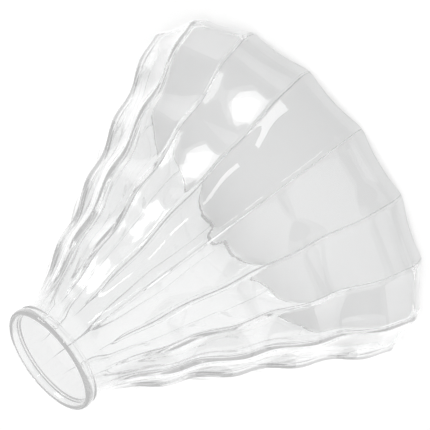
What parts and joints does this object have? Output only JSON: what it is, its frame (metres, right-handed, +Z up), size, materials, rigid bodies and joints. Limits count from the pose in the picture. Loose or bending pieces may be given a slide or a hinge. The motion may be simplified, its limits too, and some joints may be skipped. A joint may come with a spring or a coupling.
{
  "type": "fluted glass funnel",
  "caption": "Wide fluted clear-glass funnel with soft rings down its cone and a short round neck with a beaded lip, standing on its mouth.",
  "frame": {"origin": "centre of the mouth plane, on the surface the funnel stands on", "axes": "+Z up the funnel's axis from the mouth to the neck; +X through a ridge of the flutes"},
  "size_m": [0.1446, 0.1446, 0.116],
  "materials": {
    "glass": "clear, fire-polished"
  },
  "bodies": {
    "root": {"funnel": "glass"}
  },
  "joints": []
}
